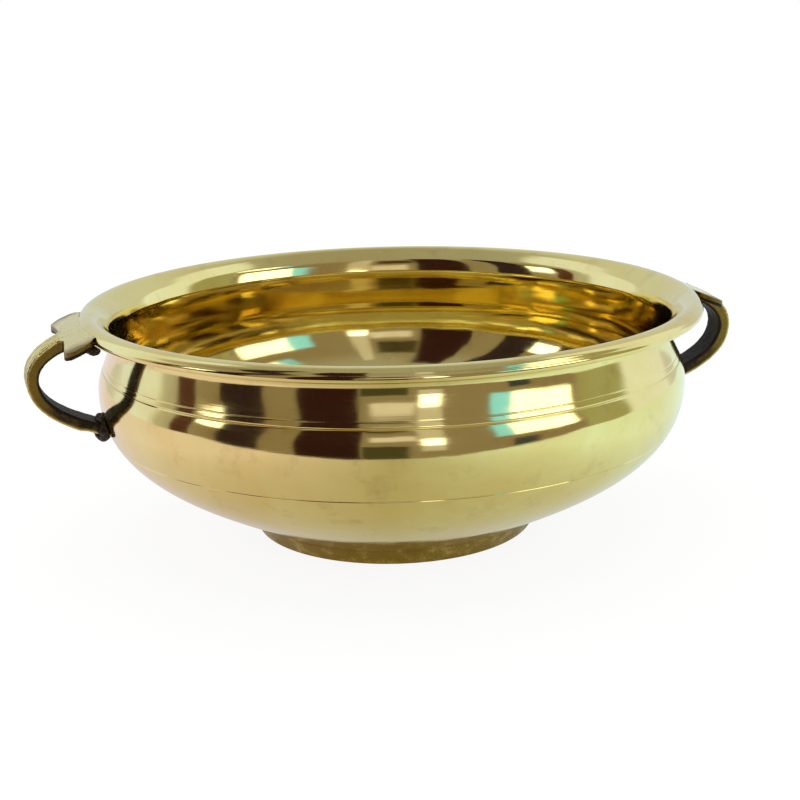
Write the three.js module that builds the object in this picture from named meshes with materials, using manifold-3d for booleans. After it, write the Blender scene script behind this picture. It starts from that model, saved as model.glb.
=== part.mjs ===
// Brass urli: a round, shallow bowl with a rolled lip, a low foot ring and two fixed strap handles.
// Millimetres, +Z up. The origin is on the table, under the middle of the bowl, and the two handles
// lie along X, both set a little forward (towards -Y).

import * as THREE from 'three';
import { mergeVertices } from 'three/addons/utils/BufferGeometryUtils.js';
import Module from 'manifold-3d';

// ---------------------------------------------------------------- driving dimensions
// Bowl. Heights marked "drop" are measured down from the top of the lip.
const rimRadius = 152.5; // outermost radius, at the lower bead of the rim edge
const bowlHeight = 115; // table to the top of the lip
const wall = 1.6; // thickness of the turned wall
const floorThickness = 2.2; // thickness of the flat bottom
const lipRollRadius = 5; // the lip's top is a roll of this radius
const lipRollInset = 0.3; // how far the roll stays inside the rim's outermost radius
const lipRollEndAngle = 112; // degrees round the roll where the lip's flare leaves it
const flareEdgeInset = 14.1; // rim to the inner edge of the flare
const flareEdgeDrop = 5.9;
const flareEdgeSlope = 44; // degrees, the flare at its inner edge
const rimBeadRadius = 2; // lower bead of the two-step rim edge
const rimBeadDrop = 4.4; // from the lip's top to the centre of the lower bead
const neckInset = 15; // rim to neck, outside radii
const neckDrop = 11.5;
const throatDrop = 1; // the inside is narrowest this far below the outside's neck
const neckTurn = { inward: 1.15, down: 1.3 }; // how soon the inside turns down past the flare's edge
const neckRunIn = { outward: 0.9, up: 3.5 }; // how steeply it comes down to the throat
const shoulderInset = 10.5; // rim to shoulder line
const shoulderDrop = 28;
const bellyInset = 7.8; // rim to the fullest part of the belly
const bellyDrop = 40;
const bellyFullness = 36; // how far the belly stays full before it turns under
const bellyRunIn = 35; // length of the straight run in to the foot
const bellyRunInSlope = 31; // degrees above the table
const underRadius = 77; // where the belly turns into the flat underside
const turnedLineDrop = 60; // the line turned round the lower belly
const turnedLineWidth = 1.1;
const turnedLineDepth = 0.5;
const shoulderLineWidth = 1.3;
const shoulderLineDepth = 0.4;

// Foot ring.
const footHeight = 9.5; // table to the flat underside of the bowl
const footRadius = 70; // outside, at the table
const footFlare = 4.5; // how much wider the ring is where it meets the bowl
const footWall = 3.4;

// Handles. A cast strap that leaves a lobed crest at the rim and returns to the belly.
const handleForward = 2.75; // degrees that each handle sits in front of the X axis
const handleReach = 26.1; // strap's outermost point beyond the rim
const handleOutDrop = 25.3; // that point, below the lip's top
const handleEndDrop = 54.8; // where the strap's outer face meets the belly, below the lip's top
const handleEndReach = 1; // that meeting, outside the belly's fullest radius
const handleEndSlope = 19; // degrees, the strap's rise away from the belly
const strapWidth = 15;
const strapThickness = 5.8;
const crestDrop = 1.7; // crest's top face at the rim's edge, below the lip's top
const crestSlope = 21.5; // degrees, the crest's fall away from the rim
const lobeRadius = 6.3; // round lobe at each end of the crest
const lobeSpread = 31; // lobe centre, sideways from the strap's middle
const lobeReach = 3.7; // lobe centre beyond the rim
const crestWaist = 8; // crest's outer edge beyond the rim, where it runs into the strap
const crestFillet = 2.5; // where the crest's outer edge turns into the strap
const rootLength = 3; // how far the crest runs in under the lip's roll before it is cut

// Brazing metal.
const lowerBraze = { radial: 4.6, sideways: 11, upright: 6.6 }; // half sizes of the lump
const upperBraze = { radius: 3, halfLength: 24 }; // run of metal under the crest
const footBrazeSize = 1.8; // fillet inside the foot ring

const jointGap = 0.3; // clearance that every brazed face keeps

// Facets.
const turnedSegments = 64;
const strapSegments = 10;

// ---------------------------------------------------------------- helpers
const wasm = await Module();
wasm.setup();

const point = (x, y) => new THREE.Vector2(x, y);
const radians = THREE.MathUtils.degToRad;

function polar(centre, radius, degrees) {
  return point(
    centre.x + radius * Math.cos(radians(degrees)),
    centre.y + radius * Math.sin(radians(degrees)),
  );
}

function arcPoints(centre, radius, fromDegrees, toDegrees, steps) {
  const points = [];
  for (let i = 0; i <= steps; i += 1) {
    points.push(polar(centre, radius, fromDegrees + ((toDegrees - fromDegrees) * i) / steps));
  }
  return points;
}

function bezierPoints(start, leave, arrive, end, steps) {
  return new THREE.CubicBezierCurve(start, leave, arrive, end).getPoints(steps);
}

// A parallel line at a distance to the left of an open run of points.
function offsetLine(points, distance) {
  return points.map((p, i) => {
    const before = points[Math.max(i - 1, 0)];
    const after = points[Math.min(i + 1, points.length - 1)];
    const along = after.clone().sub(before).normalize();
    return point(p.x - along.y * distance, p.y + along.x * distance);
  });
}

// A small V turned into an outside wall (x = radius, y = height, points in rising order).
function turnLine(points, height, width, depth) {
  const radiusAt = (y) => {
    const i = points.findIndex((p) => p.y >= y);
    const low = points[i - 1];
    const high = points[i];
    return THREE.MathUtils.mapLinear(y, low.y, high.y, low.x, high.x);
  };
  const low = height - width / 2;
  const high = height + width / 2;
  return [
    ...points.filter((p) => p.y < low - width / 2),
    point(radiusAt(low), low),
    point(radiusAt(height) - depth, height),
    point(radiusAt(high), high),
    ...points.filter((p) => p.y > high + width / 2),
  ];
}

// Revolve a radius-height profile about Z. It runs anticlockwise, so that the faces point out.
function turned(profile) {
  const ordered = THREE.ShapeUtils.area(profile) > 0 ? profile : [...profile].reverse();
  const geometry = new THREE.LatheGeometry(ordered, turnedSegments);
  return geometry.rotateX(Math.PI / 2);
}

// A plan outline raised from one height to another.
function prism(shape, low, high) {
  const geometry = new THREE.ExtrudeGeometry(shape, { depth: high - low, bevelEnabled: false });
  return geometry.translate(0, 0, low);
}

function toSolid(geometry) {
  const bare = geometry.index ? geometry.clone() : geometry;
  bare.deleteAttribute('normal');
  bare.deleteAttribute('uv');
  const welded = mergeVertices(bare, 1e-4);
  const solid = new wasm.Manifold(new wasm.Mesh({
    numProp: 3,
    vertProperties: welded.attributes.position.array,
    triVerts: Uint32Array.from(welded.index.array),
  }));
  return solid;
}

function toGeometry(solid) {
  const mesh = solid.getMesh();
  const geometry = new THREE.BufferGeometry();
  geometry.setAttribute('position', new THREE.BufferAttribute(mesh.vertProperties, 3));
  geometry.setIndex(new THREE.BufferAttribute(mesh.triVerts, 1));
  geometry.computeVertexNormals();
  return geometry;
}

// ---------------------------------------------------------------- bowl profile
const rollCentre = point(rimRadius - lipRollInset - lipRollRadius, bowlHeight - lipRollRadius);
const beadCentre = point(rimRadius - rimBeadRadius, bowlHeight - rimBeadDrop);
const neck = point(rimRadius - neckInset, bowlHeight - neckDrop);
const shoulder = point(rimRadius - shoulderInset, bowlHeight - shoulderDrop);
const belly = point(rimRadius - bellyInset, bowlHeight - bellyDrop);
const under = point(underRadius, footHeight);
const flareEdge = point(rimRadius - flareEdgeInset, bowlHeight - flareEdgeDrop);

// Outside of the wall, from the flat underside up to the neck.
function wallLine() {
  const lowerBelly = bezierPoints(
    under,
    polar(under, bellyRunIn, bellyRunInSlope),
    point(belly.x, belly.y - bellyFullness),
    belly,
    10,
  );
  const upperBelly = bezierPoints(
    belly,
    point(belly.x, belly.y + (shoulder.y - belly.y) / 2),
    point(shoulder.x + (belly.x - shoulder.x) / 2, shoulder.y - (shoulder.y - belly.y) / 4),
    shoulder,
    3,
  );
  const neckLine = bezierPoints(
    shoulder,
    point(shoulder.x - (shoulder.x - neck.x) / 3, shoulder.y + (neck.y - shoulder.y) / 4),
    point(neck.x, neck.y - (neck.y - shoulder.y) / 3),
    neck,
    4,
  );
  return [...lowerBelly, ...upperBelly.slice(1), ...neckLine.slice(1)];
}

// Under the lip, from the neck out to the lower bead.
function underLipLine() {
  const beadLow = polar(beadCentre, rimBeadRadius, -100);
  return bezierPoints(
    neck,
    point(neck.x, neck.y + (beadLow.y - neck.y) * 0.7),
    point(beadLow.x - (beadLow.x - neck.x) * 0.6, beadLow.y - rimBeadRadius * 0.6),
    beadLow,
    4,
  );
}

// The two-step rim edge: round the lower bead, then over the lip's roll from where the two cross.
function rimEdge() {
  const apart = rollCentre.distanceTo(beadCentre);
  const lean = THREE.MathUtils.radToDeg(beadCentre.clone().sub(rollCentre).angle());
  const opening = (near, far) => THREE.MathUtils.radToDeg(
    Math.acos((near * near + apart * apart - far * far) / (2 * near * apart)),
  );
  const rollStart = lean + opening(lipRollRadius, rimBeadRadius);
  const beadEnd = lean + 180 - opening(rimBeadRadius, lipRollRadius);
  const bead = arcPoints(beadCentre, rimBeadRadius, -60, beadEnd - 15, 4);
  const roll = arcPoints(rollCentre, lipRollRadius, rollStart, lipRollEndAngle, 5);
  return [...bead, ...roll];
}

const outsideWall = wallLine();
const underLip = underLipLine().slice(1);
const outsideRim = rimEdge();

// Inside of the bowl, from the lip's roll down to the middle of the floor.
function insideLine() {
  const floor = footHeight + floorThickness;
  const throat = point(neck.x - wall, neck.y - throatDrop);
  const lipEnd = polar(rollCentre, lipRollRadius, lipRollEndAngle);
  const flareReach = (lipEnd.x - flareEdge.x) / 2;
  const flare = bezierPoints(
    lipEnd,
    polar(lipEnd, flareReach, lipRollEndAngle + 90),
    polar(flareEdge, flareReach, flareEdgeSlope),
    flareEdge,
    4,
  );
  const neckInside = bezierPoints(
    flareEdge,
    point(flareEdge.x - neckTurn.inward, flareEdge.y - neckTurn.down),
    point(throat.x + neckRunIn.outward, throat.y + neckRunIn.up),
    throat,
    4,
  );
  const lining = offsetLine(outsideWall, wall)
    .filter((p) => p.y > floor + wall && p.y < throat.y - wall);
  const floorEdge = point(underRadius - wall, floor);
  return [
    ...flare.slice(1),
    ...neckInside.slice(1),
    ...lining.reverse(),
    floorEdge,
    point(0, floor),
  ];
}

function bowlProfile() {
  const grooved = turnLine(
    turnLine(outsideWall, bowlHeight - turnedLineDrop, turnedLineWidth, turnedLineDepth),
    shoulder.y,
    shoulderLineWidth,
    shoulderLineDepth,
  );
  return [point(0, footHeight), ...grooved, ...underLip, ...outsideRim, ...insideLine()];
}

// Everything inside the bowl's outside surface, grown by the joint gap: what is brazed on is cut to it.
function bowlClearance() {
  const grown = offsetLine([...outsideWall, ...underLip], -jointGap);
  const lipStart = grown[grown.length - 1].x;
  const body = toSolid(turned([
    point(0, footHeight - jointGap),
    ...grown,
    point(lipStart, rollCentre.y),
    point(0, rollCentre.y),
  ]));
  const bead = toSolid(turned(arcPoints(beadCentre, rimBeadRadius + jointGap, 0, 360, 24)));
  const rollTop = arcPoints(rollCentre, lipRollRadius + jointGap, 0, 180, 18);
  const roll = toSolid(turned([...rollTop, rollTop[0].clone()]));
  return body.add(bead).add(roll);
}

// ---------------------------------------------------------------- foot ring
function footProfile() {
  const top = footHeight - jointGap;
  const outline = [
    point(footRadius - footWall, 0),
    point(footRadius, 0),
    point(footRadius + footFlare, top),
    point(footRadius - footWall, top),
  ];
  return [...outline, outline[0].clone()];
}

function footBrazeProfile() {
  const corner = point(footRadius - footWall - jointGap, footHeight - jointGap);
  const outline = [
    corner,
    point(corner.x - footBrazeSize, corner.y),
    point(corner.x, corner.y - footBrazeSize),
  ];
  return [...outline, outline[0].clone()];
}

// ---------------------------------------------------------------- handle
const crestStart = point(rimRadius - 2, bowlHeight - crestDrop);
const strapOut = point(rimRadius + handleReach, bowlHeight - handleOutDrop);
const strapEnd = point(belly.x + handleEndReach, bowlHeight - handleEndDrop);

// Outer face of the strap in its own upright plane, from the rim round to the belly.
function strapLine() {
  const upper = bezierPoints(
    crestStart,
    polar(crestStart, (strapOut.x - crestStart.x) / 3, -crestSlope),
    point(strapOut.x, strapOut.y + (crestStart.y - strapOut.y) * 0.62),
    strapOut,
    strapSegments,
  );
  const lower = bezierPoints(
    strapOut,
    point(strapOut.x, strapOut.y - (strapOut.y - strapEnd.y) * 0.52),
    polar(strapEnd, (strapOut.x - strapEnd.x) * 0.54, handleEndSlope),
    strapEnd,
    strapSegments,
  );
  return { upper, lower };
}

// Closed band of the strap's thickness; the grow value adds clearance all round.
function bandOutline(line, grow) {
  const outer = offsetLine(line, grow);
  const inner = offsetLine(line, -strapThickness - grow);
  return [...outer, ...inner.reverse()];
}

// Extra length past each end, so that the bowl's surface makes the cut and not the strap's own end.
function extended(line, atStart, atEnd) {
  const [start, second] = line;
  const [beforeEnd, end] = line.slice(-2);
  const first = start.clone().add(start.clone().sub(second).setLength(atStart));
  const last = end.clone().add(end.clone().sub(beforeEnd).setLength(atEnd));
  return [first, ...line, last];
}

// The band's own upright plane turned to X-Z and made as wide as asked.
function strapSolid(line, width, grow) {
  const shape = new THREE.Shape(bandOutline(line, grow));
  const geometry = new THREE.ExtrudeGeometry(shape, { depth: width, bevelEnabled: false });
  geometry.rotateX(Math.PI / 2).translate(0, width / 2, 0);
  return toSolid(geometry);
}

// Plan of the crest and the start of the strap, with X outwards and Y sideways.
function crestPlan() {
  const half = strapWidth / 2;
  const lobe = point(rimRadius + lobeReach, lobeSpread);
  const waist = rimRadius + crestWaist;
  const side = [
    point(rimRadius - lobeSpread, lobeSpread),
    ...arcPoints(lobe, lobeRadius, 180, 0, 10),
    ...new THREE.QuadraticBezierCurve(
      point(lobe.x + lobeRadius, lobe.y),
      point(waist, lobeSpread / 2),
      point(waist, half + crestFillet),
    ).getPoints(4).slice(1),
    point(waist + crestFillet * 0.3, half + crestFillet * 0.3),
    point(waist + crestFillet, half),
    point(strapOut.x + strapThickness, half),
  ];
  const mirrored = side.map((p) => point(p.x, -p.y)).reverse();
  return new THREE.Shape([...side, ...mirrored]);
}

// The whole outer line of a handle, long enough for the bowl's surface to trim both ends.
function handleLine() {
  const { upper, lower } = strapLine();
  return extended([...upper, ...lower.slice(1)], rootLength, strapThickness * 2);
}

const crestEnd = rimRadius + crestWaist + crestFillet; // the crest has narrowed to the strap here

// Square block, from the outermost part of the crest inwards and as wide as asked.
function crestBlock(outermost, halfWidth, low, high) {
  const innermost = rimRadius - lobeSpread;
  const outline = [
    point(innermost, -halfWidth),
    point(outermost, -halfWidth),
    point(outermost, halfWidth),
    point(innermost, halfWidth),
  ];
  return toSolid(prism(new THREE.Shape(outline), low, high));
}

// The crest follows the rim's circle, so its band is revolved.
function crestBand(grow) {
  const line = strapLine().upper.filter((p) => p.x < crestEnd + lobeRadius);
  const band = bandOutline(extended(line, rootLength, rootLength), grow);
  return toSolid(turned([...band, band[0].clone()]));
}

// The strap's band is flat, and the crest is cut from the revolved one to its lobed plan.
function handleSolid() {
  const low = strapOut.y;
  const high = bowlHeight + strapThickness;
  const plan = toSolid(prism(crestPlan(), low, high));
  const block = crestBlock(crestEnd, lobeSpread + lobeRadius * 2, low, high);
  const crest = crestBand(0).intersect(plan).intersect(block);
  return strapSolid(handleLine(), strapWidth, 0).add(crest);
}

// ---------------------------------------------------------------- brazing metal
// Lump where the strap comes back to the belly.
function lowerBrazeSolid() {
  const lump = new THREE.SphereGeometry(1, 14, 10);
  lump.scale(lowerBraze.radial, lowerBraze.sideways, lowerBraze.upright);
  const middle = polar(strapEnd, strapThickness / 2, handleEndSlope + 90);
  lump.translate(middle.x, 0, middle.y);
  const strap = strapSolid(handleLine(), strapWidth + 2 * jointGap, jointGap);
  return toSolid(lump).subtract(strap);
}

// Run of metal under the crest, along the rim's lower edge.
function upperBrazeSolid() {
  const { radius, halfLength } = upperBraze;
  const centre = point(
    rimRadius - rimBeadRadius,
    bowlHeight - crestDrop - strapThickness - radius / 2,
  );
  const section = arcPoints(centre, radius, 0, 360, 10);
  const run = toSolid(turned(section));
  const block = crestBlock(rimRadius + radius * 2, halfLength, centre.y - radius * 2, bowlHeight);
  return run.intersect(block).subtract(crestBand(jointGap));
}

// ---------------------------------------------------------------- assembly
const finishes = {
  polished: { color: 0xcbb765, roughness: 0.16, metalness: 1 },
  cast: { color: 0x8d7a3c, roughness: 0.42, metalness: 1 },
  brazed: { color: 0x5a4a26, roughness: 0.7, metalness: 1 },
};

const urli = new THREE.Group();

function addPiece(name, geometry, finish) {
  const mesh = new THREE.Mesh(geometry, new THREE.MeshStandardMaterial(finishes[finish]));
  mesh.name = name;
  urli.add(mesh);
}

addPiece('bowl', turned(bowlProfile()), 'polished');
addPiece('foot_ring', turned(footProfile()), 'polished');
addPiece('foot_braze', turned(footBrazeProfile()), 'brazed');

const clearance = bowlClearance();
const handle = handleSolid();
const sides = [
  { name: 'right', azimuth: -handleForward },
  { name: 'left', azimuth: 180 + handleForward },
];
for (const { name, azimuth } of sides) {
  const place = (solid) => solid.rotate([0, 0, azimuth]).subtract(clearance);
  addPiece(`${name}_handle`, toGeometry(place(handle)), 'cast');
  addPiece(`${name}_upper_braze`, toGeometry(place(upperBrazeSolid())), 'brazed');
  addPiece(`${name}_lower_braze`, toGeometry(place(lowerBrazeSolid())), 'brazed');
}

export default urli;
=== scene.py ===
import math

import bmesh
import bpy
import numpy as np
from mathutils import Matrix, Vector, noise


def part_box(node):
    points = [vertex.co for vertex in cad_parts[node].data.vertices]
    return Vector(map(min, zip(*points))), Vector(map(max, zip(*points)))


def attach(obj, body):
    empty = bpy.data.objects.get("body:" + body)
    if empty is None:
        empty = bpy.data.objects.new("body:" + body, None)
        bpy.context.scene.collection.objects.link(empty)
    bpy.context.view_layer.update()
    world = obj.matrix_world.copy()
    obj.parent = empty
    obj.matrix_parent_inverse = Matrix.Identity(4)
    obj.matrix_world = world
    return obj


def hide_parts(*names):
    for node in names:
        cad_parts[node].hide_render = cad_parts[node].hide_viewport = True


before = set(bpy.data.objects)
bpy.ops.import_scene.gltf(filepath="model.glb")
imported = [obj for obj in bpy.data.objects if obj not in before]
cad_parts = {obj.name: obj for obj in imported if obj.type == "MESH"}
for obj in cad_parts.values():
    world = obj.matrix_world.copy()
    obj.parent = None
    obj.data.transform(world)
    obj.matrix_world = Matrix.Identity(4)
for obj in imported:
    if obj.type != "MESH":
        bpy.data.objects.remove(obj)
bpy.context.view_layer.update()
mm = 0.001
print("frame loaded:", ", ".join(sorted(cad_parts)))


# ---- small helpers
def addNode(tree, kind, links=None, **settings):
    node = tree.nodes.new(kind)
    for name, value in settings.items():
        setattr(node, name, value)
    for socket, value in (links or {}).items():
        if isinstance(value, bpy.types.NodeSocket):
            tree.links.new(value, node.inputs[socket])
        else:
            node.inputs[socket].default_value = value
    return node


def hexColour(text, alpha=1.0):
    channels = [int(text[i:i + 2], 16) / 255 for i in (1, 3, 5)]
    linear = [c / 12.92 if c <= 0.04045 else ((c + 0.055) / 1.055) ** 2.4 for c in channels]
    return (*linear, alpha)


def makeObject(name, mesh):
    obj = bpy.data.objects.new(name, mesh)
    bpy.context.scene.collection.objects.link(obj)
    return obj


# ---- camera: low three-quarter view from the front left
cameraView = {
    "place": (-0.1839, -0.6984, 0.2570),
    "aim": (0.0037, -0.0010, 0.0609),
    "roll": 1.315,  # degrees
    "lens": 66.74,
    "sensor": 36.0,
}
camera = bpy.data.objects.new("camera", bpy.data.cameras.new("camera"))
bpy.context.scene.collection.objects.link(camera)
camera.data.lens = cameraView["lens"]
camera.data.sensor_width = cameraView["sensor"]
camera.location = cameraView["place"]
lookAlong = Vector(cameraView["aim"]) - Vector(cameraView["place"])
rollTurn = Matrix.Rotation(math.radians(-cameraView["roll"]), 3, "Z")
camera.rotation_euler = (lookAlong.to_track_quat("-Z", "Y").to_matrix() @ rollTurn).to_euler()
bpy.context.scene.camera = camera
bpy.context.scene.view_settings.view_transform = "Standard"
print("camera placed")


# ---- materials
# Points on a metal's surface in millimetres, its distance from the axis and its height.
def surfacePlace(tree):
    place = addNode(tree, "ShaderNodeTexCoord").outputs["Object"]
    inMm = addNode(tree, "ShaderNodeVectorMath", {0: place, 3: 1000.0}, operation="SCALE").outputs[0]
    parts = addNode(tree, "ShaderNodeSeparateXYZ", {0: inMm})
    flat = addNode(tree, "ShaderNodeCombineXYZ", {0: parts.outputs[0], 1: parts.outputs[1]})
    radius = addNode(tree, "ShaderNodeVectorMath", {0: flat.outputs[0]}, operation="LENGTH").outputs[1]
    return inMm, radius, parts


def newMaterial(name):
    material = bpy.data.materials.new(name)
    material.use_nodes = True
    tree = material.node_tree
    tree.nodes.clear()
    shader = addNode(tree, "ShaderNodeBsdfPrincipled")
    addNode(tree, "ShaderNodeOutputMaterial", {"Surface": shader.outputs[0]})
    return material, tree, shader


def linkShader(tree, shader, values):
    for socket, value in values.items():
        tree.links.new(value, shader.inputs[socket])


# Cast brass, turned on a lathe and buffed: pale greenish gold, mirror-like, with faint turning
# rings, fine buffing scratches round the form and a little dulling where it has been handled.
turnedBrassLook = {
    "clean": "#EFDF95",
    "warm": "#E8CF82",
    "dull": "#A58C4E",
    "ringSpacing": 0.9,  # mm
    "ringDepth": 0.000006,  # metres, as all depths
    "scratchLength": 26.0,  # mm, at the scratch radius
    "scratchRadius": 140.0,
    "scratchDepth": 0.000004,
    "smearSize": 60.0,  # mm
    "blotchSize": 14.0,
    "wobbleSize": 26.0,  # the hammered and turned wall's gentle unevenness
    "wobbleDepth": 0.00035,
    "roughness": (0.05, 0.13),
}


def makeTurnedBrass():
    look = turnedBrassLook
    material, tree, shader = newMaterial("turnedAndBuffedBrass")
    place, radius, parts = surfacePlace(tree)
    height = parts.outputs[2]
    across = addNode(tree, "ShaderNodeMath", {0: radius, 1: height}, operation="ADD").outputs[0]
    rings = addNode(tree, "ShaderNodeTexNoise", {
        "W": across, "Scale": 1 / look["ringSpacing"], "Detail": 3.0, "Roughness": 0.6,
    }, noise_dimensions="1D").outputs[0]
    angle = addNode(tree, "ShaderNodeMath", {
        0: parts.outputs[1], 1: parts.outputs[0],
    }, operation="ARCTAN2").outputs[0]
    turns = addNode(tree, "ShaderNodeMath", {
        0: angle, 1: look["scratchRadius"] / look["scratchLength"],
    }, operation="MULTIPLY").outputs[0]
    strokes = addNode(tree, "ShaderNodeCombineXYZ", {0: turns, 1: radius, 2: height})
    scratches = addNode(tree, "ShaderNodeTexNoise", {
        "Vector": strokes.outputs[0], "Scale": 2.2, "Detail": 4.0, "Roughness": 0.7,
    }).outputs[0]
    smears = addNode(tree, "ShaderNodeTexNoise", {
        "Vector": place, "Scale": 1 / look["smearSize"], "Detail": 5.0, "Roughness": 0.6,
        "Distortion": 0.6,
    }).outputs[0]
    blotches = addNode(tree, "ShaderNodeTexNoise", {
        "Vector": place, "Scale": 1 / look["blotchSize"], "Detail": 6.0, "Roughness": 0.65,
    }).outputs[0]
    warmth = addNode(tree, "ShaderNodeMapRange", {0: smears, 1: 0.35, 2: 0.65}).outputs[0]
    base = addNode(tree, "ShaderNodeMix", {
        "Factor": warmth, 6: hexColour(look["clean"]), 7: hexColour(look["warm"]),
    }, data_type="RGBA").outputs[2]
    dulled = addNode(tree, "ShaderNodeMapRange", {0: blotches, 1: 0.56, 2: 0.78, 4: 0.35}).outputs[0]
    colour = addNode(tree, "ShaderNodeMix", {
        "Factor": dulled, 6: base, 7: hexColour(look["dull"]),
    }, data_type="RGBA").outputs[2]
    gloss = addNode(tree, "ShaderNodeMath", {0: scratches, 1: smears}, operation="MULTIPLY").outputs[0]
    roughness = addNode(tree, "ShaderNodeMapRange", {
        0: gloss, 1: 0.12, 2: 0.42, 3: look["roughness"][0], 4: look["roughness"][1],
    }).outputs[0]
    wobble = addNode(tree, "ShaderNodeTexNoise", {
        "Vector": place, "Scale": 1 / look["wobbleSize"], "Detail": 1.5, "Roughness": 0.45,
    }).outputs[0]
    uneven = addNode(tree, "ShaderNodeBump", {
        "Height": wobble, "Strength": 1.0, "Distance": look["wobbleDepth"],
    }).outputs[0]
    ringed = addNode(tree, "ShaderNodeBump", {
        "Height": rings, "Strength": 1.0, "Distance": look["ringDepth"], "Normal": uneven,
    }).outputs[0]
    scratched = addNode(tree, "ShaderNodeBump", {
        "Height": scratches, "Strength": 1.0, "Distance": look["scratchDepth"], "Normal": ringed,
    }).outputs[0]
    shader.inputs["Metallic"].default_value = 1.0
    linkShader(tree, shader, {"Base Color": colour, "Roughness": roughness, "Normal": scratched})
    return material


# Cast brass left as it came from the sand: dark olive brown in the hollows and on the inside of the
# strap, rubbed back to gold on the outside, with fine sand pits.
castBrassLook = {
    "rubbed": "#EBD98A",
    "gold": "#8F7430",
    "patina": "#1E140A",
    "pitSize": 0.9,  # mm
    "pitDepth": 0.00008,  # metres
    "stainSize": 7.0,  # mm
    "staining": 0.55,  # how far stains change how rubbed the metal looks
    "rubbedSpread": 0.15,
}


def makeCastBrass(name, rubbedEverywhere=None):
    look = castBrassLook
    material, tree, shader = newMaterial(name)
    shader.inputs["Specular IOR Level"].default_value = 0.2
    place = surfacePlace(tree)[0]
    stains = addNode(tree, "ShaderNodeTexNoise", {
        "Vector": place, "Scale": 1 / look["stainSize"], "Detail": 5.0, "Roughness": 0.65,
    }).outputs[0]
    pits = addNode(tree, "ShaderNodeTexNoise", {
        "Vector": place, "Scale": 1 / look["pitSize"], "Detail": 3.0, "Roughness": 0.6,
    }).outputs[0]
    if rubbedEverywhere is None:
        rubbed = addNode(tree, "ShaderNodeAttribute", attribute_name="rubbed").outputs["Fac"]
    else:
        rubbed = addNode(tree, "ShaderNodeMapRange", {
            0: pits, 3: rubbedEverywhere - look["rubbedSpread"], 4: rubbedEverywhere + look["rubbedSpread"],
        }).outputs[0]
    stained = addNode(tree, "ShaderNodeMath", {0: stains, 1: 0.5}, operation="SUBTRACT").outputs[0]
    worn = addNode(tree, "ShaderNodeMath", {
        0: stained, 1: look["staining"], 2: rubbed,
    }, operation="MULTIPLY_ADD").outputs[0]
    toGold = addNode(tree, "ShaderNodeMapRange", {0: worn, 1: 0.08, 2: 0.5}).outputs[0]
    toBright = addNode(tree, "ShaderNodeMapRange", {0: worn, 1: 0.55, 2: 0.9}).outputs[0]
    first = addNode(tree, "ShaderNodeMix", {
        "Factor": toGold, 6: hexColour(look["patina"]), 7: hexColour(look["gold"]),
    }, data_type="RGBA").outputs[2]
    colour = addNode(tree, "ShaderNodeMix", {
        "Factor": toBright, 6: first, 7: hexColour(look["rubbed"]),
    }, data_type="RGBA").outputs[2]
    roughness = addNode(tree, "ShaderNodeMapRange", {
        0: worn, 1: 0.1, 2: 0.95, 3: 0.55, 4: 0.16,
    }).outputs[0]
    metallic = addNode(tree, "ShaderNodeMapRange", {0: worn, 2: 0.45, 3: 0.15, 4: 1.0}).outputs[0]
    sunk = addNode(tree, "ShaderNodeMapRange", {0: pits, 1: 0.3, 2: 0.5}).outputs[0]
    bump = addNode(tree, "ShaderNodeBump", {
        "Height": sunk, "Strength": 0.6, "Distance": look["pitDepth"],
    }).outputs[0]
    linkShader(tree, shader, {
        "Base Color": colour, "Roughness": roughness, "Metallic": metallic, "Normal": bump,
    })
    return material


# Brazing metal run into the joints: scaled dark brown by the flame, with brassy glints on its lumps.
brazingLook = {
    "scale": "#221A10",
    "glint": "#8A6B2C",
    "grain": 1.3,  # mm
    "grainDepth": 0.0003,  # metres
}


def makeBrazingBrass():
    look = brazingLook
    material, tree, shader = newMaterial("flameScaledBrazingBrass")
    place = surfacePlace(tree)[0]
    grain = addNode(tree, "ShaderNodeTexNoise", {
        "Vector": place, "Scale": 1 / look["grain"], "Detail": 5.0, "Roughness": 0.7,
    }).outputs[0]
    bright = addNode(tree, "ShaderNodeMapRange", {0: grain, 1: 0.52, 2: 0.72}).outputs[0]
    colour = addNode(tree, "ShaderNodeMix", {
        "Factor": bright, 6: hexColour(look["scale"]), 7: hexColour(look["glint"]),
    }, data_type="RGBA").outputs[2]
    roughness = addNode(tree, "ShaderNodeMapRange", {0: bright, 3: 0.62, 4: 0.3}).outputs[0]
    metallic = addNode(tree, "ShaderNodeMapRange", {0: bright, 3: 0.4, 4: 1.0}).outputs[0]
    bump = addNode(tree, "ShaderNodeBump", {
        "Height": grain, "Strength": 0.8, "Distance": look["grainDepth"],
    }).outputs[0]
    linkShader(tree, shader, {
        "Base Color": colour, "Roughness": roughness, "Metallic": metallic, "Normal": bump,
    })
    return material


turnedBrass = makeTurnedBrass()
footBrass = makeCastBrass("turnedFootBrass", 0.55)
castBrass = makeCastBrass("sandCastBrass")
beadBrass = makeCastBrass("rubbedBeadBrass", 0.75)
brazingBrass = makeBrazingBrass()
print("materials made")


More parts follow.
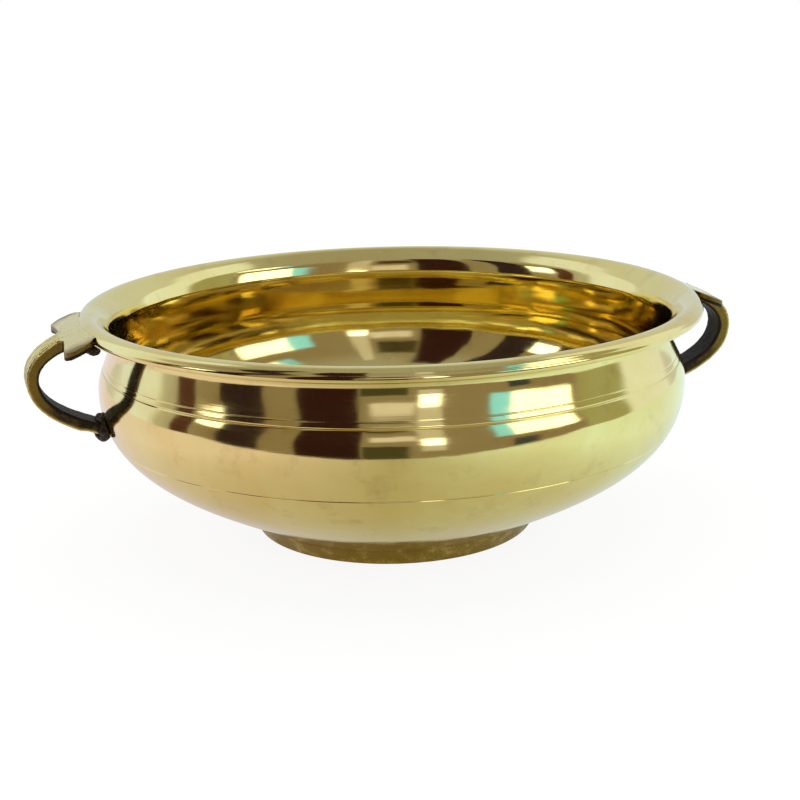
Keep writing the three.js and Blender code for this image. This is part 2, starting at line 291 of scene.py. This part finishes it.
# ---- turned forms: a profile carried round the axis by Geometry Nodes
def buildTurningTree():
    tree = bpy.data.node_groups.new("turnedForm", "GeometryNodeTree")
    face = tree.interface
    face.new_socket("Profile", in_out="INPUT", socket_type="NodeSocketGeometry")
    face.new_socket("Cuts Around", in_out="INPUT", socket_type="NodeSocketInt").default_value = 240
    face.new_socket("Weld", in_out="INPUT", socket_type="NodeSocketFloat").default_value = 0.000005
    face.new_socket("Finish", in_out="INPUT", socket_type="NodeSocketMaterial")
    face.new_socket("Form", in_out="OUTPUT", socket_type="NodeSocketGeometry")
    entry = addNode(tree, "NodeGroupInput")
    profile, cuts, weld, finish = entry.outputs[:4]
    count = addNode(tree, "GeometryNodeAttributeDomainSize", {0: profile}, component="MESH").outputs[0]
    columns = addNode(tree, "ShaderNodeMath", {0: cuts, 1: 1.0}, operation="ADD").outputs[0]
    grid = addNode(tree, "GeometryNodeMeshGrid", {"Vertices X": count, "Vertices Y": columns}).outputs[0]
    index = addNode(tree, "GeometryNodeInputIndex").outputs[0]
    along = addNode(tree, "ShaderNodeMath", {0: index, 1: columns}, operation="DIVIDE").outputs[0]
    row = addNode(tree, "ShaderNodeMath", {0: along}, operation="FLOOR").outputs[0]
    column = addNode(tree, "ShaderNodeMath", {0: index, 1: columns}, operation="MODULO").outputs[0]
    point = addNode(tree, "GeometryNodeInputPosition").outputs[0]
    sample = addNode(tree, "GeometryNodeSampleIndex", {
        "Geometry": profile, "Index": row,
    }, data_type="FLOAT_VECTOR", domain="POINT")
    tree.links.new(point, sample.inputs["Value"])
    at = addNode(tree, "ShaderNodeSeparateXYZ", {0: sample.outputs[0]})
    share = addNode(tree, "ShaderNodeMath", {0: column, 1: cuts}, operation="DIVIDE").outputs[0]
    turn = addNode(tree, "ShaderNodeMath", {0: share, 1: 2 * math.pi}, operation="MULTIPLY").outputs[0]
    cosine = addNode(tree, "ShaderNodeMath", {0: turn}, operation="COSINE").outputs[0]
    sine = addNode(tree, "ShaderNodeMath", {0: turn}, operation="SINE").outputs[0]
    x = addNode(tree, "ShaderNodeMath", {0: at.outputs[0], 1: cosine}, operation="MULTIPLY").outputs[0]
    y = addNode(tree, "ShaderNodeMath", {0: at.outputs[0], 1: sine}, operation="MULTIPLY").outputs[0]
    place = addNode(tree, "ShaderNodeCombineXYZ", {0: x, 1: y, 2: at.outputs[2]}).outputs[0]
    turned = addNode(tree, "GeometryNodeSetPosition", {"Geometry": grid, "Position": place}).outputs[0]
    welded = addNode(tree, "GeometryNodeMergeByDistance", {
        "Geometry": turned, "Distance": weld,
    }).outputs[0]
    smooth = addNode(tree, "GeometryNodeSetShadeSmooth", {"Geometry": welded}).outputs[0]
    real = addNode(tree, "GeometryNodeRealizeInstances", {0: smooth}).outputs[0]
    coated = addNode(tree, "GeometryNodeSetMaterial", {"Geometry": real, "Material": finish}).outputs[0]
    addNode(tree, "NodeGroupOutput", {0: coated})
    return tree


turningTree = buildTurningTree()


def setInputs(modifier, values):
    for item in modifier.node_group.interface.items_tree:
        if item.in_out == "INPUT" and item.name in values:
            modifier[item.identifier] = values[item.name]


# The modifier's result as a plain mesh on its own object.
def freeze(source, name):
    graph = bpy.context.evaluated_depsgraph_get()
    mesh = bpy.data.meshes.new_from_object(source.evaluated_get(graph))
    source.modifiers.clear()
    bpy.data.objects.remove(source)
    mesh.name = name
    return makeObject(name, mesh)


# profile: (radius, height) in mm, from the axis at the bottom, out, over the rim and back to the axis.
def turnForm(name, profile, cuts, finish, closed=False):
    mesh = bpy.data.meshes.new(name + "Profile")
    points = profile + profile[:1] if closed else profile
    edges = [(i, i + 1) for i in range(len(points) - 1)]
    mesh.from_pydata([(r * mm, 0, z * mm) for r, z in points], edges, [])
    source = makeObject(name + "Profile", mesh)
    modifier = source.modifiers.new("turn", "NODES")
    modifier.node_group = turningTree
    setInputs(modifier, {"Cuts Around": cuts, "Finish": finish})
    return freeze(source, name)


# ---- profile curves, in mm
def polar(centre, radius, degrees):
    angle = math.radians(degrees)
    return (centre[0] + radius * math.cos(angle), centre[1] + radius * math.sin(angle))


def arc(centre, radius, start, end, steps):
    return [polar(centre, radius, start + (end - start) * i / steps) for i in range(steps + 1)]


def bezier(start, leave, arrive, end, steps):
    points = []
    for i in range(steps + 1):
        t = i / steps
        weights = ((1 - t) ** 3, 3 * t * (1 - t) ** 2, 3 * t * t * (1 - t), t ** 3)
        controls = (start, leave, arrive, end)
        points.append(tuple(sum(w * p[k] for w, p in zip(weights, controls)) for k in (0, 1)))
    return points


def offset(points, distance):
    moved = []
    for i, (x, y) in enumerate(points):
        before, after = points[max(i - 1, 0)], points[min(i + 1, len(points) - 1)]
        dx, dy = after[0] - before[0], after[1] - before[1]
        length = math.hypot(dx, dy)
        moved.append((x - dy / length * distance, y + dx / length * distance))
    return moved


# ---- bowl
bowlBase, bowlTop = (corner.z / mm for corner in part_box("bowl"))
bowlForm = {
    "rim": 152.4,  # outermost radius
    "base": bowlBase,
    "top": bowlTop,
    "wall": 1.6,
    "floor": 2.2,
    "roll": 5.0,  # radius of the lip's roll
    "rollInset": 0.3,
    "bead": 2.0,  # radius of the lower bead of the rim's edge
    "beadDrop": 4.4,
    "neck": (15.0, 11.5),  # in from the rim, down from the top
    "shoulder": (10.5, 28.0),
    "belly": (7.8, 40.0),
    "bellyFullness": 36.0,
    "flareEdge": (14.1, 5.9),
    "neckTurn": (1.15, 1.3),  # how soon the inside turns down past the flare's edge: inward, down
    "throatDrop": 1.0,
    "throatRun": (0.9, 3.5),  # how steeply it comes down to the throat: outward, up
    "under": 77.0,  # radius where the belly meets the flat underside
    "runIn": (35.0, 31.0),  # mm, degrees
    "line": (60.0, 0.9, 0.45),  # drop, width, depth of the line round the lower belly
    "shoulderLines": ((28.0, 0.9, 0.35), (25.2, 0.6, 0.12)),
    "cuts": 240,
}


# A line cut round the outside with a pointed tool: shape holds (height in widths, share of the depth).
def cutLine(points, height, width, depth):
    shape = ((-0.9, 0.0), (-0.5, 0.02), (-0.3, 0.45), (0.0, 1.0), (0.3, 0.45), (0.5, 0.02), (0.9, 0.0))

    def radiusAt(y):
        i = next(i for i, p in enumerate(points) if p[1] >= y)
        a, b = points[i - 1], points[i]
        return a[0] + (b[0] - a[0]) * (y - a[1]) / (b[1] - a[1])

    below = [p for p in points if p[1] < height - width]
    above = [p for p in points if p[1] > height + width]
    levels = [(height + s * width, d * depth) for s, d in shape]
    return below + [(radiusAt(level) - cut, level) for level, cut in levels] + above


def bowlProfile():
    b = bowlForm
    rim, top = b["rim"], b["top"]
    neck, shoulder, belly, edge = ((rim - b[key][0], top - b[key][1])
                                   for key in ("neck", "shoulder", "belly", "flareEdge"))
    under = (b["under"], b["base"])
    outside = bezier(
        under,
        polar(under, *b["runIn"]),
        (belly[0], belly[1] - b["bellyFullness"]),
        belly, 34)
    outside += bezier(
        belly,
        (belly[0], belly[1] + (shoulder[1] - belly[1]) / 2),
        (shoulder[0] + (belly[0] - shoulder[0]) / 2, shoulder[1] - (shoulder[1] - belly[1]) / 4),
        shoulder, 10)[1:]
    outside += bezier(
        shoulder,
        (shoulder[0] - (shoulder[0] - neck[0]) / 3, shoulder[1] + (neck[1] - shoulder[1]) / 4),
        (neck[0], neck[1] - (neck[1] - shoulder[1]) / 3),
        neck, 12)[1:]
    rollCentre = (rim - b["rollInset"] - b["roll"], top - b["roll"])
    beadCentre = (rim - b["bead"], top - b["beadDrop"])
    beadLow = polar(beadCentre, b["bead"], -100)
    underLip = bezier(
        neck,
        (neck[0], neck[1] + (beadLow[1] - neck[1]) * 0.7),
        (beadLow[0] - (beadLow[0] - neck[0]) * 0.6, beadLow[1] - b["bead"] * 0.6),
        beadLow, 8)
    rimEdge = arc(beadCentre, b["bead"], -75, 48, 9) + arc(rollCentre, b["roll"], 28, 112, 12)
    lipEnd = rimEdge[-1]
    reach = (lipEnd[0] - edge[0]) / 2
    flare = bezier(lipEnd, polar(lipEnd, reach, 202), polar(edge, reach, 44), edge, 8)
    throat = (neck[0] - b["wall"], neck[1] - b["throatDrop"])
    inside = bezier(
        edge,
        (edge[0] - b["neckTurn"][0], edge[1] - b["neckTurn"][1]),
        (throat[0] + b["throatRun"][0], throat[1] + b["throatRun"][1]),
        throat, 14)
    floorZ = b["base"] + b["floor"]
    lining = [p for p in offset(outside, b["wall"]) if floorZ + 1.0 < p[1] < throat[1] - 1.0]
    lining.reverse()
    low = lining[-1]
    corner = bezier(
        low,
        (low[0] - 2.0, low[1] - 1.3),
        (b["under"] - 2, floorZ),
        (b["under"] - 5, floorZ), 6)
    floorRings = [(r, floorZ) for r in (68, 60, 50, 40, 30, 20, 12, 6, 2, 0)]
    for drop, width, depth in (b["line"], *b["shoulderLines"]):
        outside = cutLine(outside, top - drop, width, depth)
    underside = [(r, b["base"]) for r in (0, 3, 8, 20, 35, 50, 64, 72, 76)]
    return (underside + outside[1:] + underLip[1:] + rimEdge + flare[1:] + inside[1:]
            + lining + corner[1:] + floorRings)


bowl = turnForm("turnedBowl", bowlProfile(), bowlForm["cuts"], turnedBrass)
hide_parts("bowl")
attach(bowl, "root")
print("bowl turned:", len(bowl.data.polygons), "faces")

# ---- foot ring: a turned band leaning outward, with a fillet of brazing metal inside
footForm = {
    "radius": 69.9,  # at the table
    "flare": 4.4,
    "wall": 3.4,
    "height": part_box("foot_ring")[1].z / mm,
    "hollow": 0.35,  # how far the outside curves in between table and bowl
    "edge": 0.5,  # rounding of the lower edges
    "groove": (7.6, 1.3, 0.5),  # height, width, depth of the line round the outside
    "fillet": 1.7,
    "filletCuts": 120,
    "cuts": 200,
}


def footProfile():
    f = footForm
    inner, outer, edge, top = f["radius"] - f["wall"], f["radius"], f["edge"], f["height"]
    wallUp = []
    for i in range(15):
        t = i / 14
        wallUp.append((outer + f["flare"] * t - f["hollow"] * math.sin(math.pi * t), edge + (top - edge) * t))
    wallUp = cutLine(wallUp, *f["groove"])
    outerEdge = arc((outer - edge, edge), edge, -90, -5, 4)
    innerEdge = arc((inner + edge, edge), edge, 180, 270, 4)
    within = [(inner, top), (inner, top / 2), (inner, edge)]
    return outerEdge + wallUp[1:] + within + innerEdge[1:] + [(outer - 1.6, 0.0)]


def filletProfile():
    f, size = footForm, footForm["fillet"]
    corner = (f["radius"] - f["wall"] - 0.1, f["height"] - 0.05)
    middle = (corner[0] - size, corner[1] - size)
    return [corner, (middle[0], corner[1]), *arc(middle, size * 0.98, 80, 10, 4), (corner[0], middle[1])]


footRing = turnForm("turnedFootRing", footProfile(), footForm["cuts"], footBrass, closed=True)
footFillet = turnForm("footFillet", filletProfile(), footForm["filletCuts"], brazingBrass, closed=True)
for piece, node, slot in ((footRing, "foot_ring", "polished_brass"),
                          (footFillet, "foot_braze", "brazing_brass")):
    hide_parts(node)
    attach(piece, "root")
print("foot ring turned")

# ---- handles: cast straps, carved along the outside, running up into a lobed crest
handleForm = {
    "forward": 2.75,  # degrees in front of the sideways line
    "reach": 26.1,  # strap's outermost point beyond the rim
    "outDrop": 25.3,
    "endDrop": 54.8,
    "endReach": 1.0,
    "endSlope": 19.0,
    "width": 15.0,
    "thickness": 5.8,
    "crestDrop": 1.7,
    "crestSlope": 21.5,
    "voxel": 0.45,
    "smoothing": 5,
    # from the strap's middle, width, depth
    "grooves": ((-4.3, 0.75, 0.55), (4.3, 0.75, 0.55), (-1.3, 0.55, 0.35), (1.3, 0.55, 0.35)),
    "grooveRun": (9.0, 15.0, 62.0, 72.0),  # along the strap: fades in, full, full, fades out
    "roughness": 0.13,  # cast unevenness
    "castSize": 3.2,
    "lobeThickness": 0.55,  # of the strap's
    "lobeFade": (0.6, 3.0),  # beyond the strap's side, where the thinning sets in
    "rootOverlap": 0.9,  # how far the crest's top runs into the lip, filed and polished over
    "beadRadius": 0.62,
    "beadSpacing": 1.6,
    "beadRun": (10.5, 26.0),
    "beadSide": 6.3,  # from the strap's middle
    "beadDepth": 0.45,  # how deep their centres sit under the face
    "beadUnevenness": 0.2,
    "beadSeed": 7,
}


# Outer face of the strap in its own upright plane, as (x, z) points in mm.
def strapLine(steps=40):
    h, rim, top = handleForm, bowlForm["rim"] + 0.1, bowlForm["top"]
    start = (rim - 2, top - h["crestDrop"])
    out = (rim + h["reach"], top - h["outDrop"])
    end = (rim - bowlForm["belly"][0] + h["endReach"], top - h["endDrop"])
    upper = bezier(start, polar(start, (out[0] - start[0]) / 3, -h["crestSlope"]),
                   (out[0], out[1] + (start[1] - out[1]) * 0.62), out, steps)
    lower = bezier(out, (out[0], out[1] - (out[1] - end[1]) * 0.52),
                   polar(end, (out[0] - end[0]) * 0.54, h["endSlope"]), end, steps)
    return np.array(upper + lower[1:])


# For points in the strap's plane: distance along the outer face, depth behind it, the face's normal.
def alongStrap(points):
    line = strapLine()
    parts = np.diff(line, axis=0)
    lengths = np.hypot(parts[:, 0], parts[:, 1])
    starts = np.concatenate([[0], np.cumsum(lengths)[:-1]])
    unit = parts / lengths[:, None]
    gap = points[:, None, :] - line[None, :-1, :]
    run = np.clip((gap * unit[None]).sum(2), 0, lengths[None])
    nearest = line[None, :-1, :] + unit[None] * run[..., None]
    away = points[:, None, :] - nearest
    distance = np.hypot(away[..., 0], away[..., 1])
    best = distance.argmin(1)
    rows = np.arange(len(points))
    normal = np.stack([-unit[best, 1], unit[best, 0]], 1)
    depth = -(away[rows, best] * normal).sum(1)
    return starts[best] + run[rows, best], depth, normal


def smoothStep(value, low, high):
    t = np.clip((value - low) / (high - low), 0, 1)
    return t * t * (3 - 2 * t)


# A CAD solid's copy, remeshed into even quads and softened like a casting.
def softCopy(node, name, voxel, smoothing):
    form = bmesh.new()
    form.from_mesh(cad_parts[node].data)
    bmesh.ops.remove_doubles(form, verts=form.verts, dist=0.00001)
    mesh = bpy.data.meshes.new(name)
    form.to_mesh(mesh)
    form.free()
    obj = makeObject(name + "Source", mesh)
    remesh = obj.modifiers.new("remesh", "REMESH")
    remesh.mode = "VOXEL"
    remesh.voxel_size = voxel * mm
    remesh.use_smooth_shade = True
    soften = obj.modifiers.new("soften", "SMOOTH")
    soften.factor = 0.5
    soften.iterations = smoothing
    return freeze(obj, name)


def readPoints(mesh):
    values = np.empty(len(mesh.vertices) * 3, np.float32)
    mesh.vertices.foreach_get("co", values)
    return values.reshape(-1, 3).astype(float) / mm


def writePoints(mesh, points):
    mesh.vertices.foreach_set("co", (points * mm).astype(np.float32).ravel())
    mesh.update()


def unevenness(points, scale):
    return np.array([noise.noise(Vector(p) / scale) for p in points])


def spinAbout(points, azimuth):
    angle = math.radians(azimuth)
    cosine, sine = math.cos(angle), math.sin(angle)
    return np.stack([points[:, 0] * cosine - points[:, 1] * sine,
                     points[:, 0] * sine + points[:, 1] * cosine, points[:, 2]], 1)


def makeHandle(side, azimuth):
    h = handleForm
    obj = softCopy(side + "_handle", side + "HandleCasting", h["voxel"], h["smoothing"])
    mesh = obj.data
    local = spinAbout(readPoints(mesh), -azimuth)
    run, depth, normal = alongStrap(local[:, [0, 2]])
    beside = np.abs(local[:, 1]) - h["width"] / 2
    lobes = smoothStep(beside, *h["lobeFade"])
    topFace = strapLine()[:40]
    under = np.interp(local[:, 0], topFace[:, 0], topFace[:, 1]) - local[:, 2]
    local[:, 2] += np.clip(under, 0, None) * (1 - h["lobeThickness"]) * lobes
    rootEnd = bowlForm["rim"] + 1.5
    atRoot = 1 - smoothStep(local[:, 0], rootEnd - 1, rootEnd + 2)
    atRoot *= 1 - smoothStep(depth, 1.0, 3.0)
    local[:, 0] -= h["rootOverlap"] * atRoot
    local[:, 2] += h["rootOverlap"] * 0.5 * atRoot
    face = 1 - smoothStep(depth, 0.5, 1.8)
    start, full, last, end = h["grooveRun"]
    fade = smoothStep(run, start, full) * (1 - smoothStep(run, last, end))
    carve = sum(d * np.exp(-((local[:, 1] - y) / w) ** 2) for y, w, d in h["grooves"])
    onStrap = smoothStep(run, 6.0, 12.0)
    rough = unevenness(local, h["castSize"]) + unevenness(local + 40, 1.1) * 0.35
    push = h["roughness"] * (rough * (0.25 + 0.75 * onStrap) - 0.5) - carve * fade * face
    local[:, 0] += normal[:, 0] * push
    local[:, 2] += normal[:, 1] * push
    writePoints(mesh, spinAbout(local, azimuth))
    # rubbed: 1 where hands and the buffing wheel reach, 0 on the raw inside of the strap
    inner = smoothStep(depth, h["thickness"] - 1.6, h["thickness"] - 0.4)
    top = face * (1 - smoothStep(run, 22.0, 46.0) * 0.45)
    lowEnd = smoothStep(run, 46.0, 66.0) * (1 - face)
    rubbed = np.clip(0.42 + 0.58 * top - 0.42 * inner - 0.3 * lowEnd, 0, 1)
    rubbed -= np.clip(carve * fade * face, 0, 0.5) * 1.1
    layer = mesh.attributes.new("rubbed", "FLOAT", "POINT")
    layer.data.foreach_set("value", np.clip(rubbed, 0, 1).astype(np.float32))
    mesh.materials.clear()
    mesh.materials.append(castBrass)
    return obj


# Beads along both edges of the strap: a row of small domes set on the strap's line.
def buildBeadTree():
    tree = bpy.data.node_groups.new("beadRow", "GeometryNodeTree")
    face = tree.interface
    face.new_socket("Line", in_out="INPUT", socket_type="NodeSocketGeometry")
    face.new_socket("Bead Radius", in_out="INPUT", socket_type="NodeSocketFloat").default_value = 0.0007
    face.new_socket("Spacing", in_out="INPUT", socket_type="NodeSocketFloat").default_value = 0.0018
    face.new_socket("Unevenness", in_out="INPUT", socket_type="NodeSocketFloat").default_value = 0.15
    face.new_socket("Seed", in_out="INPUT", socket_type="NodeSocketInt").default_value = 4
    face.new_socket("Finish", in_out="INPUT", socket_type="NodeSocketMaterial")
    face.new_socket("Beads", in_out="OUTPUT", socket_type="NodeSocketGeometry")
    line, radius, spacing, uneven, seed, finish = addNode(tree, "NodeGroupInput").outputs[:6]
    curve = addNode(tree, "GeometryNodeMeshToCurve", {0: line}).outputs[0]
    even = addNode(tree, "GeometryNodeResampleCurve", {
        "Curve": curve, "Length": spacing,
    }, mode="LENGTH").outputs[0]
    bead = addNode(tree, "GeometryNodeMeshIcoSphere", {"Radius": radius, "Subdivisions": 2}).outputs[0]
    least = addNode(tree, "ShaderNodeMath", {0: 1.0, 1: uneven}, operation="SUBTRACT").outputs[0]
    size = addNode(tree, "FunctionNodeRandomValue", {
        2: least, 3: 1.0, "Seed": seed,
    }, data_type="FLOAT").outputs[1]
    placed = addNode(tree, "GeometryNodeInstanceOnPoints", {
        "Points": even, "Instance": bead, "Scale": size,
    }).outputs[0]
    real = addNode(tree, "GeometryNodeRealizeInstances", {0: placed}).outputs[0]
    smooth = addNode(tree, "GeometryNodeSetShadeSmooth", {"Geometry": real}).outputs[0]
    coated = addNode(tree, "GeometryNodeSetMaterial", {"Geometry": smooth, "Material": finish}).outputs[0]
    addNode(tree, "NodeGroupOutput", {0: coated})
    return tree


beadTree = buildBeadTree()


def makeBeads(side, azimuth):
    h = handleForm
    line = strapLine()
    steps = np.concatenate([[0], np.cumsum(np.hypot(*np.diff(line, axis=0).T))])
    start, end = h["beadRun"]
    kept = line[(steps >= start) & (steps <= end)]
    inward = offset([tuple(p) for p in kept], -h["beadDepth"])
    points, edges = [], []
    for y in (-h["beadSide"], h["beadSide"]):
        first = len(points)
        points += [(x, y, z) for x, z in inward]
        edges += [(i, i + 1) for i in range(first, len(points) - 1)]
    mesh = bpy.data.meshes.new(side + "BeadLine")
    mesh.from_pydata(spinAbout(np.array(points), azimuth) * mm, edges, [])
    source = makeObject(side + "BeadLine", mesh)
    modifier = source.modifiers.new("beads", "NODES")
    modifier.node_group = beadTree
    setInputs(modifier, {"Bead Radius": h["beadRadius"] * mm, "Spacing": h["beadSpacing"] * mm,
                         "Unevenness": h["beadUnevenness"], "Seed": h["beadSeed"], "Finish": beadBrass})
    return freeze(source, side + "HandleBeads")


# ---- brazing metal: rough lumps at the strap's end and a run under the crest
brazeForm = {
    "voxel": 0.4,
    "smoothing": 3,
    "lumps": 0.55,  # height of the lumps
    "lumpSize": 2.4,
    "grit": 0.18,
    "gritSize": 0.9,
}


def makeBraze(side, place):
    b = brazeForm
    obj = softCopy(f"{side}_{place}_braze", f"{side}{place.title()}Braze", b["voxel"], b["smoothing"])
    points = readPoints(obj.data)
    normals = np.empty(len(points) * 3, np.float32)
    obj.data.vertices.foreach_get("normal", normals)
    push = unevenness(points, b["lumpSize"]) * b["lumps"] + unevenness(points, b["gritSize"]) * b["grit"]
    writePoints(obj.data, points + normals.reshape(-1, 3) * push[:, None])
    obj.data.materials.clear()
    obj.data.materials.append(brazingBrass)
    return obj


for side, azimuth in (("right", -handleForm["forward"]), ("left", 180 + handleForm["forward"])):
    casting = makeHandle(side, azimuth)
    beads = makeBeads(side, azimuth)
    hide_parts(side + "_handle")
    for piece in (casting, beads):
        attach(piece, "root")
    for place in ("upper", "lower"):
        lump = makeBraze(side, place)
        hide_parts(f"{side}_{place}_braze")
        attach(lump, "root")
print("handles cast and brazed")

# ---- stage: pale floor and studio
stageLook = {
    "paper": "#FFFFFF",
    "glow": 0.9,  # how much of the paper's white doesn't depend on the object's shadow
    "tableFront": 0.38,  # metres from the middle to the front edge of the reflected table
    "tableHalf": 0.95,
    "floorHalf": 4.0,
    "tableBack": 2.0,
    "underTable": 0.0005,
    # painted reflection light the metal gets from the table's left, middle and right (seen by glossy rays
    # only), and how far out those lie
    "reflected": ((0.88, 0.82, 0.98), (0.50, 0.47, 0.36), (0.86, 1.06, 1.12)),
    "reflectedReach": 0.26,
}


def rectangle(name, x0, y0, x1, y1):
    mesh = bpy.data.meshes.new(name)
    mesh.from_pydata([(x0, y0, 0), (x1, y0, 0), (x1, y1, 0), (x0, y1, 0)], [], [(0, 1, 2, 3)])
    obj = makeObject(name, mesh)
    obj.rotation_euler.z = math.radians(studio["facing"] + 90)
    return obj


# White paper that glows evenly for the camera and shows a painted reflection glow to glossy rays.
def makePaper():
    look = stageLook
    material, tree, shader = newMaterial("paperWithPaintedReflectionGlow")
    output = shader.outputs[0].links[0].to_node
    shader.inputs["Base Color"].default_value = hexColour(look["paper"])
    shader.inputs["Roughness"].default_value = 1.0
    shader.inputs["Specular IOR Level"].default_value = 0.0
    glow = addNode(tree, "ShaderNodeEmission", {"Color": hexColour(look["paper"]), "Strength": 1.0})
    seen = addNode(tree, "ShaderNodeMixShader", {
        0: look["glow"], 1: shader.outputs[0], 2: glow.outputs[0],
    })
    place = addNode(tree, "ShaderNodeTexCoord").outputs["Object"]
    across = addNode(tree, "ShaderNodeSeparateXYZ", {0: place}).outputs[0]
    share = addNode(tree, "ShaderNodeMapRange", {
        0: across, 1: -look["reflectedReach"], 2: look["reflectedReach"],
    }).outputs[0]
    ramp = addNode(tree, "ShaderNodeValToRGB", {0: share})
    stops = ramp.color_ramp.elements
    stops.new(0.5)
    for stop, light in zip(stops, look["reflected"]):
        stop.color = [part / 2 for part in light] + [1]
    # Painted reflection: for glossy rays only the table glows pale lilac at its left, a dimmer warm grey in
    # the middle and pale cyan at its right.
    paintedReflectionGlow = addNode(tree, "ShaderNodeEmission", {"Color": ramp.outputs[0], "Strength": 2.0})
    ray = addNode(tree, "ShaderNodeLightPath")
    paper = addNode(tree, "ShaderNodeMixShader", {
        0: ray.outputs["Is Glossy Ray"], 1: seen.outputs[0], 2: paintedReflectionGlow.outputs[0],
    })
    tree.links.new(paper.outputs[0], output.inputs[0])
    return material


studio = {
    "facing": -104.75,  # degrees, the side the camera stands on
    "backdrop": "#FFFFFF",
    "walls": "#94897A",
    "ceiling": "#A9ABAC",
    "sides": "#D6DFE8",
    "sidesFrom": (70, 115),  # degrees round from the camera's side
    "ceilingFrom": (40, 70),  # degrees up
    # azimuth from the camera's side, half width, low, high (degrees), softness, colour, strength
    "panels": (
        (-116.0, 16.0, -13.0, 60.0, 6.0, "#D9E6FF", 1.25),
        (-86.0, 4.5, -17.0, 34.0, 1.2, "#55352F", 1.0),
        (-74.0, 6.0, 16.0, 30.0, 1.2, "#E8EEFF", 3.2),
        (-59.5, 8.5, -16.0, 66.0, 1.2, "#30242A", 1.0),
        (-25.0, 12.0, -19.0, 66.0, 1.0, "#32191B", 1.0),
        (-3.0, 9.0, -19.0, 4.0, 1.5, "#4B4A33", 1.0),
        (-3.0, 9.0, 30.0, 50.0, 3.0, "#4B4433", 1.0),
        (0.0, 9.0, 14.0, 24.0, 3.0, "#F2EEFF", 0.9),
        (14.5, 4.5, -6.0, 60.0, 1.5, "#E2DFE8", 0.85),
        (14.5, 4.0, 4.0, 18.0, 1.5, "#F0F2FF", 3.4),
        (50.0, 4.5, -17.0, 1.0, 1.5, "#3E4756", 1.0),
        (59.0, 13.0, 8.0, 30.0, 2.5, "#F2F8FF", 3.0),
        (42.5, 4.5, 8.0, 30.0, 3.0, "#76C4FF", 1.8),
        (75.0, 12.0, 42.0, 53.0, 2.5, "#F2F8FF", 2.4),
        (58.0, 4.5, 42.0, 53.0, 3.0, "#76C4FF", 1.5),
        (88.0, 12.0, -13.0, 42.0, 5.0, "#A9AD8E", 1.0),
        (116.0, 16.0, -13.0, 60.0, 6.0, "#DDEBFF", 1.25),
    ),
}


def buildStudio():
    world = bpy.data.worlds.new("studio")
    bpy.context.scene.world = world
    world.use_nodes = True
    tree = world.node_tree
    tree.nodes.clear()
    facing = addNode(tree, "ShaderNodeTexCoord").outputs["Generated"]
    parts = addNode(tree, "ShaderNodeSeparateXYZ", {0: facing})
    azimuth = addNode(tree, "ShaderNodeMath", {
        0: parts.outputs[1], 1: parts.outputs[0],
    }, operation="ARCTAN2").outputs[0]
    elevation = addNode(tree, "ShaderNodeMath", {0: parts.outputs[2]}, operation="ARCSINE").outputs[0]

    def awayFrom(value, middle, wrap):
        gap = addNode(tree, "ShaderNodeMath", {
            0: value, 1: math.radians(middle),
        }, operation="SUBTRACT").outputs[0]
        if wrap:
            gap = addNode(tree, "ShaderNodeMath", {
                0: gap, 1: math.pi, 2: -math.pi,
            }, operation="WRAP").outputs[0]
        return addNode(tree, "ShaderNodeMath", {0: gap}, operation="ABSOLUTE").outputs[0]

    # 0 below the first angle, 1 above the second
    def rising(value, first, second, start=0.0, end=1.0):
        return addNode(tree, "ShaderNodeMapRange", {
            0: value, 1: math.radians(first), 2: math.radians(second), 3: start, 4: end,
        }, interpolation_type="SMOOTHSTEP").outputs[0]

    def inside(gap, reach, softness):
        return rising(gap, reach - softness / 2, reach + softness / 2, 1.0, 0.0)

    def blend(share, first, second):
        return addNode(tree, "ShaderNodeMix", {
            "Factor": share, 6: first, 7: second,
        }, data_type="RGBA").outputs[2]

    front = awayFrom(azimuth, studio["facing"], True)
    toSides = rising(front, *studio["sidesFrom"])
    upward = rising(elevation, *studio["ceilingFrom"])
    colour = blend(toSides, hexColour(studio["walls"]), hexColour(studio["sides"]))
    colour = blend(upward, colour, hexColour(studio["ceiling"]))
    for middle, halfWidth, low, high, softness, tint, strength in studio["panels"]:
        across = inside(awayFrom(azimuth, studio["facing"] + middle, True), halfWidth, softness)
        upDown = inside(awayFrom(elevation, (low + high) / 2, False), (high - low) / 2, softness)
        mask = addNode(tree, "ShaderNodeMath", {0: across, 1: upDown}, operation="MULTIPLY").outputs[0]
        paint = tuple(c * strength for c in hexColour(tint)[:3]) + (1.0,)
        colour = blend(mask, colour, paint)
    mirror = addNode(tree, "ShaderNodeBackground", {"Color": colour, "Strength": 1.0}).outputs[0]
    plain = addNode(tree, "ShaderNodeBackground", {
        "Color": hexColour(studio["backdrop"]), "Strength": 1.0,
    }).outputs[0]
    ray = addNode(tree, "ShaderNodeLightPath")
    mixed = addNode(tree, "ShaderNodeMixShader", {0: ray.outputs["Is Glossy Ray"], 1: plain, 2: mirror})
    addNode(tree, "ShaderNodeOutputWorld", {0: mixed.outputs[0]})


buildStudio()
paper = makePaper()
half, reach = stageLook["tableHalf"], stageLook["floorHalf"]
table = rectangle("table", -half, -stageLook["tableFront"], half, stageLook["tableBack"])
floor = rectangle("floor", -reach, -reach, reach, reach)
floor.location.z = -stageLook["underTable"]
floor.visible_glossy = False
for obj in (table, floor):
    obj.data.materials.append(paper)
overheadLight = {"size": 1.6, "energy": 9.0, "place": (0.0, 0.1, 1.6)}
overhead = bpy.data.objects.new("overheadSoftbox", bpy.data.lights.new("overheadSoftbox", "AREA"))
bpy.context.scene.collection.objects.link(overhead)
overhead.data.shape = "DISK"
overhead.data.size = overheadLight["size"]
overhead.data.energy = overheadLight["energy"]
overhead.location = overheadLight["place"]
overhead.visible_glossy = False
print("stage built")
